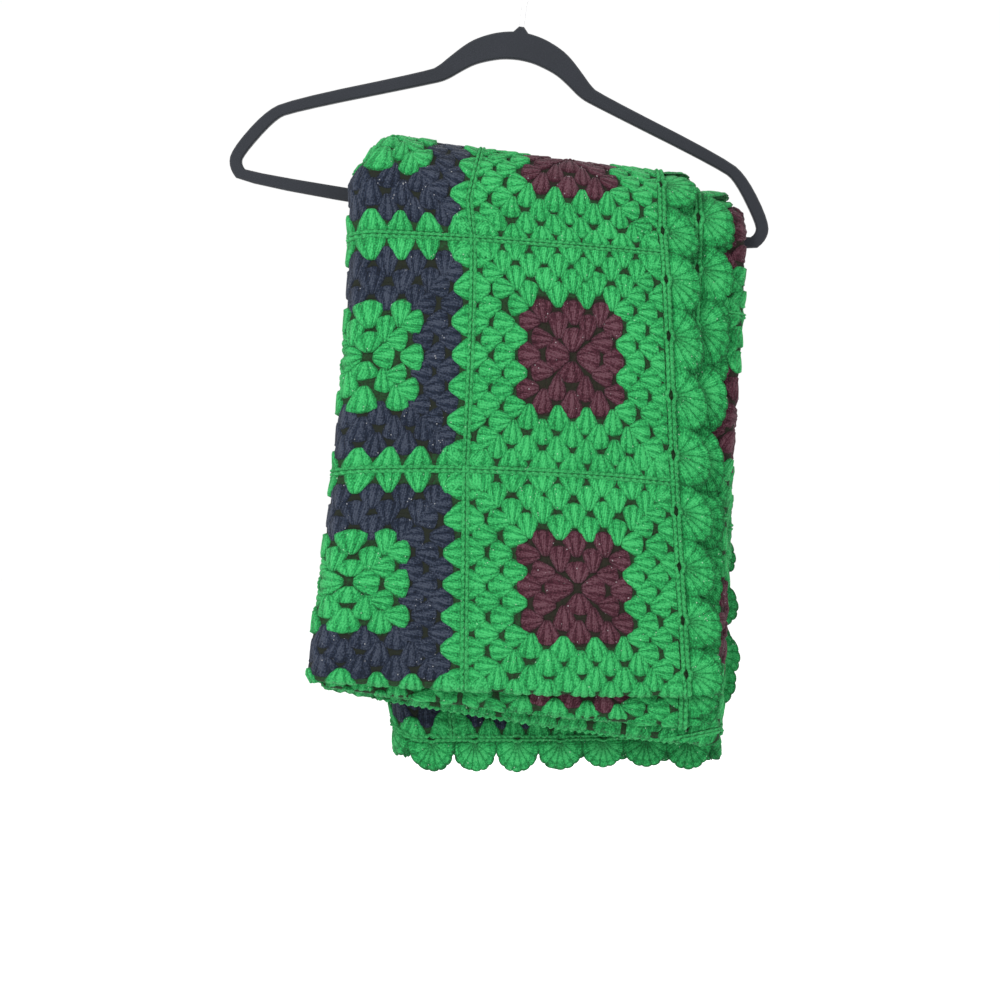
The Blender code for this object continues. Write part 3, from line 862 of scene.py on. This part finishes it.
def rib(s, v, wide, height, start, slits=None):
    """A join along a line of flat points: two ropes of chain stitches side by side, a groove between them.

    Each rope is half a circle across, and its highest line runs from one side to the other with each stitch.
    With each point goes painted shade, darker at the rope's sides and where its twist sinks. Where slits are
    given, as lengths along the line, the ropes part round a narrow opening.
    """
    line = np.stack([s, v], axis=1)
    step = np.gradient(line, axis=0)
    step /= np.linalg.norm(step, axis=1, keepdims=True)
    side = np.stack([-step[:, 1], step[:, 0]], axis=1)
    length = np.concatenate([[0], np.cumsum(np.linalg.norm(np.diff(line, axis=0), axis=1))])[:, None]
    part = 0 * length
    if slits is not None:
        part = np.exp(-((((length - slits[None, :]) / 3.6) ** 4))).sum(axis=1, keepdims=True)
    around = np.linspace(0, np.pi, 7)[None, :]
    stitch = 2 * np.pi * (length / CHAIN_STITCH + start)
    pieces = []
    for sign in (-1, 1):
        swell = 0.86 + 0.14 * np.sin(stitch + sign * 0.9)
        middle = sign * (wide * 0.21 + part * wide * 0.2)
        across = middle - np.cos(around) * wide * 0.27 * swell
        skew = np.sin(stitch - sign * np.cos(around) * 2.2)
        lift = 0.4 + (height * (0.8 + 0.1 * skew) * swell - 0.4) * np.sin(around) ** 0.75
        pieces.append(
            (
                (line[:, :1] + side[:, :1] * across).ravel(),
                (line[:, 1:] + side[:, 1:] * across).ravel(),
                lift.ravel(),
                # Painted shade: darker at the rope's sides and where its twist sinks.
                ((0.6 + 0.4 * np.sin(around)) * (0.66 + 0.17 * (1 + skew))).ravel(),
                (stitch / 6 - sign * np.cos(around) * 0.35 + 0 * lift).ravel(),
                grid_faces(len(line), 7),
            )
        )
    return pieces


def shell_places(square, first, last):
    """The middles of the shells along the squares from first to last."""
    return (np.arange(first * SHELLS_PER_SQUARE, last * SHELLS_PER_SQUARE) + 0.5) * square / SHELLS_PER_SQUARE


class BLANKET_OT_ribs(bpy.types.Operator):
    """The ribs along the joins of the squares and along the free edges"""

    bl_idname = "blanket.ribs"
    bl_label = "Joins"

    def execute(self, context):
        _, stitches, _ = settings()

        def between(start, end):
            return np.arange(start, end, RIB_STEP)

        reach = HALF_LENGTH
        up, low = between(-40, reach - 1), between(reach * 0.8, reach - 1)
        whole, both = between(2.0, WIDTH - 2), between(-reach + 2, reach - 2)
        left = whole[whole < RUN_ENDS[2] + 12]
        fold = whole[(whole > RUN_ENDS[3] - 40) & (whole < RUN_ENDS[4] + 30)]
        under = whole[(whole > RUN_ENDS[3] - 40) & (whole < RUN_ENDS[5])]
        lines = []
        # Joins along the blanket: the first over the whole outer thickness, the others low at the back.
        for column, part in ((1, up), (2, low), (3, low)):
            lines.append((np.full_like(part, SIDE_ROW + column * SQUARE_ACROSS), part, JOIN_WIDE, None))
        for line in range(1, SQUARES_ALONG):
            for part in (left, fold):
                lines.append((part, np.full_like(part, line * SQUARE_ALONG), JOIN_WIDE, None))
        for part in (left, under):
            lines.append((part, np.zeros_like(part), JOIN_WIDE, None))
        slits = SIDE_ROW - 2 + shell_places(SQUARE_ACROSS, 0, SQUARES_ACROSS)
        for end in (-1, 1):
            lines.append((whole, np.full_like(whole, end * (reach - 2.5)), END_WIDE, slits))
        slits = reach - 2 + shell_places(SQUARE_ALONG, -SQUARES_ALONG, SQUARES_ALONG)
        for edge in (2.2, WIDTH - 2.2):
            lines.append((np.full_like(both, edge), both, SIDE_WIDE, slits))
        parts = []
        first = 0
        for number, (s, v, wide, slits) in enumerate(lines):
            for made in rib(s, v, wide, stitches.rib_height, number * 0.37, slits):
                parts.append((*made[:5], made[5] + first))
                first += len(made[0])
        add_flat("join_ribs", *(np.concatenate([part[i] for part in parts]) for i in range(6)))
        return {"FINISHED"}


def add_flat(name, s, v, lift, painted_shade, strand, faces, under=None):
    """A piece in green yarn from flat points, its faces turned to the right side, or away from it for the
    points that under marks."""
    points = on_cloth(s, v, lift)
    outward = right_side(s, v)
    if under is not None:
        outward[under] *= -1
    corner = points[faces]
    n = np.cross(corner[:, 2] - corner[:, 0], corner[:, 3] - corner[:, 1])
    wrong = (n * outward[faces[:, 0]]).sum(axis=1) < 0
    faces[wrong] = faces[wrong, ::-1]
    green = bpy.data.materials["green_yarn"]
    return new_piece(name, points, faces, green, {"painted_shade": painted_shade, "strand": strand})


SHELL_ROUND = 42
SHELL_OUT = 8
SHELL_POSTS = 7


def shells(base, out_s, out_v, along_s, along_v, half, depth, thick, droop, uneven, seed):
    """Fans of seven posts on an edge, as flat points and faces.

    base is each fan's root, out and along its two directions. A point at the angle t and the share d from
    root to rim lies d * depth * sin(t) ** 0.75 out and d * half * cos(t) along, less near the root, on both
    faces of a lens. The lens swells over each post, dips before the rim and has the crown of the last row
    along it.
    """
    draw = np.random.default_rng(seed)
    count = len(base)
    t = np.linspace(0, np.pi, SHELL_ROUND + 1)[None, None, :]
    d = (np.linspace(0, 1, SHELL_OUT + 1) ** 0.8)[None, :, None]

    def column(values):
        return np.asarray(values, float)[:, None, None]

    def spread(size):
        return column(draw.normal(0, size, count) * uneven)

    grow = 1 + spread(0.045)
    posts = np.abs(np.sin(t * SHELL_POSTS)) ** 0.55
    rim = 0.965 + 0.045 * posts
    out = column(depth) * grow * d * rim * np.sin(t) ** 0.75
    share = out / column(depth)
    along = column(half) * 1.06 * (1 + spread(0.03)) * d * rim * np.cos(t) * (0.66 + 0.34 * d)
    along = along + (column(droop) + spread(1.2)) * share**1.6
    edge = np.sqrt(np.clip(1 - d**7, 0, 1))
    dip = np.exp(-(((d - 0.79) / 0.05) ** 2))
    crown = np.exp(-(((d - 0.9) / 0.07) ** 2))
    swell = (0.6 + 0.4 * posts * np.clip(d * 2.2, 0, 1)) * (0.6 + 0.4 * d) - 0.2 * dip + 0.16 * crown * posts
    sides = np.sqrt(np.clip(np.sin(t) * 2.6 + 0.16, 0, 1))
    lens = thick / 2 * edge * swell * sides
    dome = 1.1 * np.sin(np.pi * np.clip(share, 0, 1) ** 0.8) * np.sin(t)
    middle = (0.5 + spread(0.8)) * share**2 * 1.5 + spread(0.8) * d * np.cos(t) + dome
    s = column(base[:, 0]) + column(out_s) * out + column(along_s) * along
    v = column(base[:, 1]) + column(out_v) * out + column(along_v) * along
    # Painted shade: darker at the rim, between the posts, in the dip, near the root and at the sides of the
    # lens.
    painted_shade = edge * (0.4 + 0.6 * posts) * (1 - 0.4 * dip) * (0.5 + 0.5 * np.clip(d * 1.6, 0, 1)) * sides
    painted_shade = painted_shade + 0 * s
    strand = t * 1.9 + d * 0.5 + 0 * s
    flat = [np.concatenate([x.ravel(), x.ravel()]) for x in (s, v, painted_shade, strand)]
    lift = np.concatenate([(middle + lens).ravel(), (middle - lens).ravel()])
    upper = many_grids(count, SHELL_OUT + 1, SHELL_ROUND + 1)
    faces = np.concatenate([upper, upper[:, ::-1] + s.size])
    return flat[0], flat[1], lift, flat[2], flat[3], faces, slice(s.size, None)


class BLANKET_OT_shells(bpy.types.Operator):
    """The border of shells on the side edges and both ends"""

    bl_idname = "blanket.shells"
    bl_label = "Shell border"

    def execute(self, context):
        _, stitches, _ = settings()
        thick, uneven = stitches.shell_thick, stitches.unevenness
        pitch = SQUARE_ALONG / SHELLS_PER_SQUARE
        v = shell_places(SQUARE_ALONG, -SQUARES_ALONG, SQUARES_ALONG)
        # Each droops 5 mm down its own side of the bar.
        top_of_bar = FRONT_LENGTH + 75
        down = np.where(np.abs(v) < top_of_bar, -np.sign(v), np.sign(v)) * 5.0
        one = np.ones(len(v))
        sides = (("side_shells_first", 0.0, -1), ("side_shells_second", WIDTH, 1))
        for seed, (name, edge, out) in enumerate(sides):
            base = np.stack([np.full_like(v, edge), v], axis=1)
            made = shells(
                base, out * one, 0 * one, 0 * one, one, pitch / 2 * one, SHELL_DEPTH * one, thick, down,
                uneven, seed,
            )
            add_flat(name, *made)
        pitch = SQUARE_ACROSS / SHELLS_PER_SQUARE
        s = SIDE_ROW + shell_places(SQUARE_ACROSS, 0, SQUARES_ACROSS)
        one = np.ones(len(s))
        for seed, (name, end) in enumerate((("end_shells_outer", 1), ("end_shells_inner", -1))):
            base = np.stack([s, np.full_like(s, end * HALF_LENGTH)], axis=1)
            made = shells(
                base, 0 * one, end * one, one, 0 * one, pitch / 2 * one, END_SHELL_DEPTH * one, thick,
                0 * one, uneven, 5 + seed,
            )
            add_flat(name, *made)
        # Those at the corners are 4 mm deeper, and their roots lie 6 mm further in.
        corners = np.array([(e, f) for e in (0.0, WIDTH) for f in (-HALF_LENGTH, HALF_LENGTH)])
        out = np.where(corners > 1, 1.0, -1.0) * math.sqrt(0.5)
        one = np.ones(4)
        made = shells(
            corners - out * 6, out[:, 0], out[:, 1], -out[:, 1], out[:, 0], pitch / 2 * one,
            (SHELL_DEPTH + 4) * one, thick, 0 * one, uneven, 9,
        )
        add_flat("corner_shells", *made)
        return {"FINISHED"}


class BLANKET_OT_finishes(bpy.types.Operator):
    """The yarns, and the finishes of the hanger and its hook"""

    bl_idname = "blanket.finishes"
    bl_label = "Yarns and finishes"

    def execute(self, context):
        yarns, _, _ = settings()
        for yarn in ("green", "navy", "burgundy"):
            yarn_material(f"{yarn}_yarn", getattr(yarns, yarn))
        for node, material in (
            ("hanger", flock_material("dark_flock", yarns.flock)),
            ("hook", wire_material("bright_wire")),
        ):
            mesh = frame["nodes"][node].data
            mesh.materials.clear()
            mesh.materials.append(material)
        return {"FINISHED"}


class BLANKET_OT_studio(bpy.types.Operator):
    """A pale floor, soft light and the camera"""

    bl_idname = "blanket.studio"
    bl_label = "Studio"

    def execute(self, context):
        _, _, studio = settings()
        scene = context.scene
        width = 12.0
        across = np.linspace(-width, width, 7)
        y, x = (a.ravel() for a in np.meshgrid(across, across, indexing="ij"))
        points = np.stack([x, y, np.full_like(x, -studio.floor_drop)], axis=1)
        mesh = bpy.data.meshes.new("floor")
        mesh.from_pydata(points.tolist(), [], grid_faces(7, 7).tolist())
        n = Nodes("pale_floor")
        n.shader.inputs["Base Color"].default_value = (0.93, 0.93, 0.93, 1)
        n.shader.inputs["Roughness"].default_value = 0.9
        n.shader.inputs["Emission Color"].default_value = (1, 1, 1, 1)
        n.shader.inputs["Emission Strength"].default_value = 0.15
        mesh.materials.append(n.material)
        floor = bpy.data.objects.new("floor", mesh)
        scene.collection.objects.link(floor)
        world = bpy.data.worlds.new("studio")
        world.use_nodes = True
        world.node_tree.nodes["Background"].inputs["Color"].default_value = (1, 1, 1, 1)
        world.node_tree.nodes["Background"].inputs["Strength"].default_value = 0.85
        scene.world = world
        for name, place_at, aim, size, power in (
            ("key", (-1.3, -1.9, 0.9), (0, 0, -0.4), 0.9, 62),
            ("fill", (1.6, -1.6, 0.0), (0, 0, -0.4), 1.4, 14),
            ("back", (0.6, 2.2, 0.9), (0, 0, -0.4), 1.4, 40),
        ):
            lamp = bpy.data.lights.new(name, "AREA")
            lamp.size = size
            lamp.energy = power
            light = bpy.data.objects.new(name, lamp)
            scene.collection.objects.link(light)
            light.location = place_at
            way = Vector(aim) - Vector(place_at)
            light.rotation_euler = way.to_track_quat("-Z", "Y").to_euler()
        camera = bpy.data.objects.new("camera", bpy.data.cameras.new("camera"))
        camera.data.lens = studio.lens
        camera.data.sensor_width = 36.0
        camera.data.clip_end = 60
        camera.location = (-0.0266, -studio.camera_distance, -0.4517)
        camera.rotation_euler = (math.radians(90), 0, 0)
        scene.collection.objects.link(camera)
        scene.camera = camera
        scene.view_settings.view_transform = "Standard"
        scene.view_settings.exposure = 0.25
        return {"FINISHED"}


class BLANKET_PT_panel(bpy.types.Panel):
    """Lists the blanket's operators and settings"""

    bl_label = "Granny Square Blanket"
    bl_idname = "BLANKET_PT_panel"
    bl_space_type = "VIEW_3D"
    bl_region_type = "UI"
    bl_category = "Blanket"

    def draw(self, context):
        layout = self.layout
        scene = context.scene
        for group in (scene.blanket_yarn, scene.blanket_stitches, scene.blanket_studio):
            box = layout.box()
            for name in group.bl_rna.properties.keys():
                if name not in ("rna_type", "name"):
                    box.prop(group, name)
        for operator in OPERATORS:
            layout.operator(operator.bl_idname)


OPERATORS = (
    BLANKET_OT_studio,
    BLANKET_OT_finishes,
    BLANKET_OT_cloth,
    BLANKET_OT_clusters,
    BLANKET_OT_ribs,
    BLANKET_OT_shells,
)
GROUPS = (
    ("blanket_yarn", YarnColours),
    ("blanket_stitches", StitchSizes),
    ("blanket_studio", StudioSizes),
)


def register():
    for name, group in GROUPS:
        bpy.utils.register_class(group)
        setattr(bpy.types.Scene, name, bpy.props.PointerProperty(type=group))
    for operator in OPERATORS:
        bpy.utils.register_class(operator)
    bpy.utils.register_class(BLANKET_PT_panel)


def unregister():
    bpy.utils.unregister_class(BLANKET_PT_panel)
    for operator in reversed(OPERATORS):
        bpy.utils.unregister_class(operator)
    for name, group in reversed(GROUPS):
        delattr(bpy.types.Scene, name)
        bpy.utils.unregister_class(group)


def main():
    register()
    for operator in OPERATORS:
        module, name = operator.bl_idname.split(".")
        getattr(getattr(bpy.ops, module), name)()


if __name__ == "__main__":
    main()
